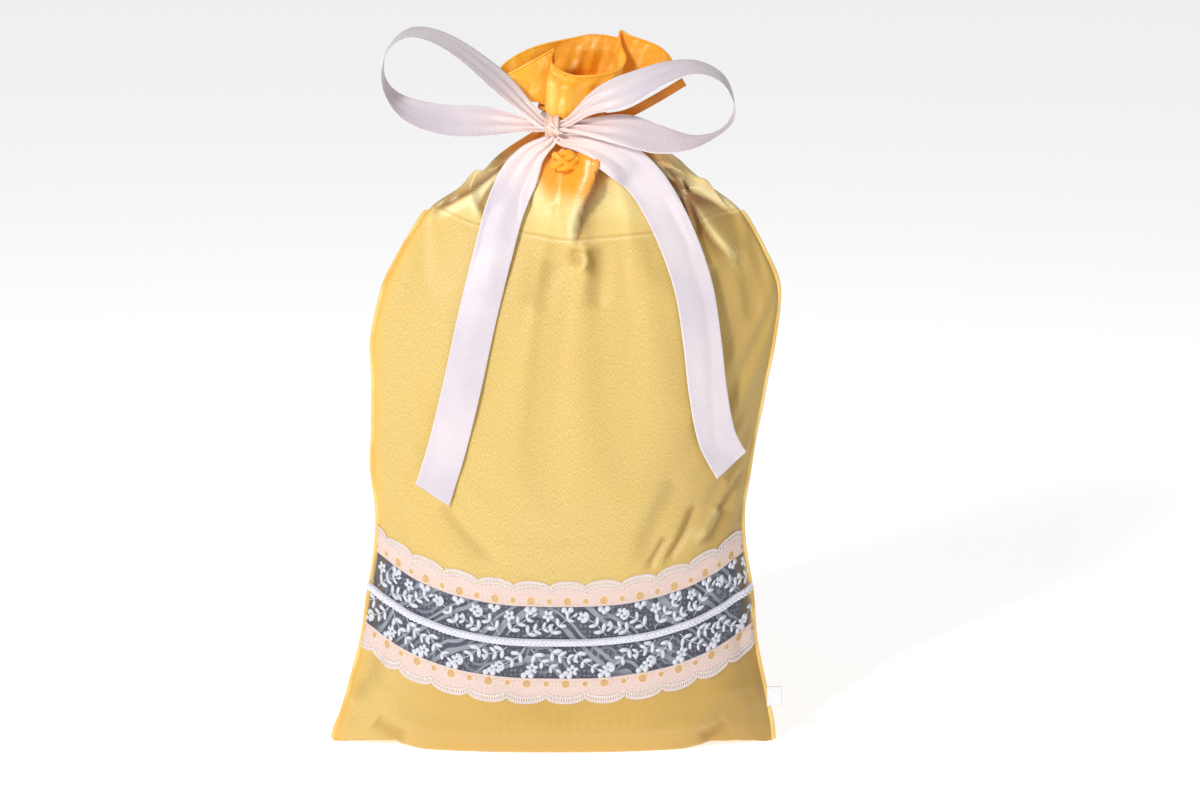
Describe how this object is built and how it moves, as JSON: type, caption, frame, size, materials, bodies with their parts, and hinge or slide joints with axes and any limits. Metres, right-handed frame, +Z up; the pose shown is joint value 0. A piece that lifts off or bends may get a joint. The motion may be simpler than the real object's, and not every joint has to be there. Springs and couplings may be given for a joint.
{
  "type": "fabric gift sack",
  "caption": "Filled fabric gift sack with a gathered, frilled mouth, a see-through lace band across the front and a ribbon bow with hanging tails tied round its neck.",
  "frame": {"origin": "middle of the base, on the surface the sack stands on", "axes": "+X to the right seen from the front, -Y out of the front with the lace and the bow, +Z up"},
  "size_m": [0.3069, 0.0858, 0.4829],
  "materials": {
    "tissue": "thin slubbed tissue cloth, soft sheen",
    "satin": "glossy satin",
    "lace": "fine net lace, matt",
    "braid": "raised cotton braid, matt",
    "contents_cloth": "printed cloth, matt",
    "tie_satin": "glossy satin strip",
    "ribbon": "ribbed satin ribbon, soft sheen",
    "label": "smooth woven label"
  },
  "bodies": {
    "root": {"back_panel": "satin", "front_upper_panel": "tissue", "front_lower_panel": "tissue", "lace_strip_upper": "lace", "lace_strip_lower": "lace", "lace_braid": "braid", "side_seam_left": "satin", "side_seam_right": "satin", "bottom_seam": "satin", "mouth_facing": "satin", "neck_gathers": "satin", "mouth_frill": "satin", "folded_cloth": "contents_cloth", "tie_band": "tie_satin", "tie_knot": "tie_satin", "ribbon_neck_wrap": "ribbon", "ribbon_knot": "ribbon"},
    "loop_left": {"ribbon_loop_left": "ribbon"},
    "loop_right": {"ribbon_loop_right": "ribbon"},
    "tail_left": {"ribbon_tail_left": "ribbon"},
    "tail_right": {"ribbon_tail_right": "ribbon"},
    "tie_end": {"tie_end": "tie_satin"},
    "label": {"side_label": "label"}
  },
  "joints": [
    {"name": "loop_left_swing", "type": "hinge", "parent": "root", "child": "loop_left", "pos_m": [-0.007, -0.031, 0.421], "axis": [0, 0, 1], "range_deg": [0, 50]},
    {"name": "loop_right_swing", "type": "hinge", "parent": "root", "child": "loop_right", "pos_m": [0.011, -0.031, 0.421], "axis": [0, 0, -1], "range_deg": [0, 50]},
    {"name": "tail_left_lift", "type": "hinge", "parent": "root", "child": "tail_left", "pos_m": [0, -0.026, 0.411], "axis": [-1, 0, 0], "range_deg": [0, 60]},
    {"name": "tail_right_lift", "type": "hinge", "parent": "root", "child": "tail_right", "pos_m": [0.008, -0.026, 0.411], "axis": [-1, 0, 0], "range_deg": [0, 60]},
    {"name": "tie_end_swing", "type": "hinge", "parent": "root", "child": "tie_end", "pos_m": [0.03, -0.005, 0.422], "axis": [0, 0, 1], "range_deg": [0, 60]},
    {"name": "label_flip", "type": "hinge", "parent": "root", "child": "label", "pos_m": [0.1466, 0, 0.031], "axis": [0, 0, 1], "range_deg": [-60, 60]}
  ]
}
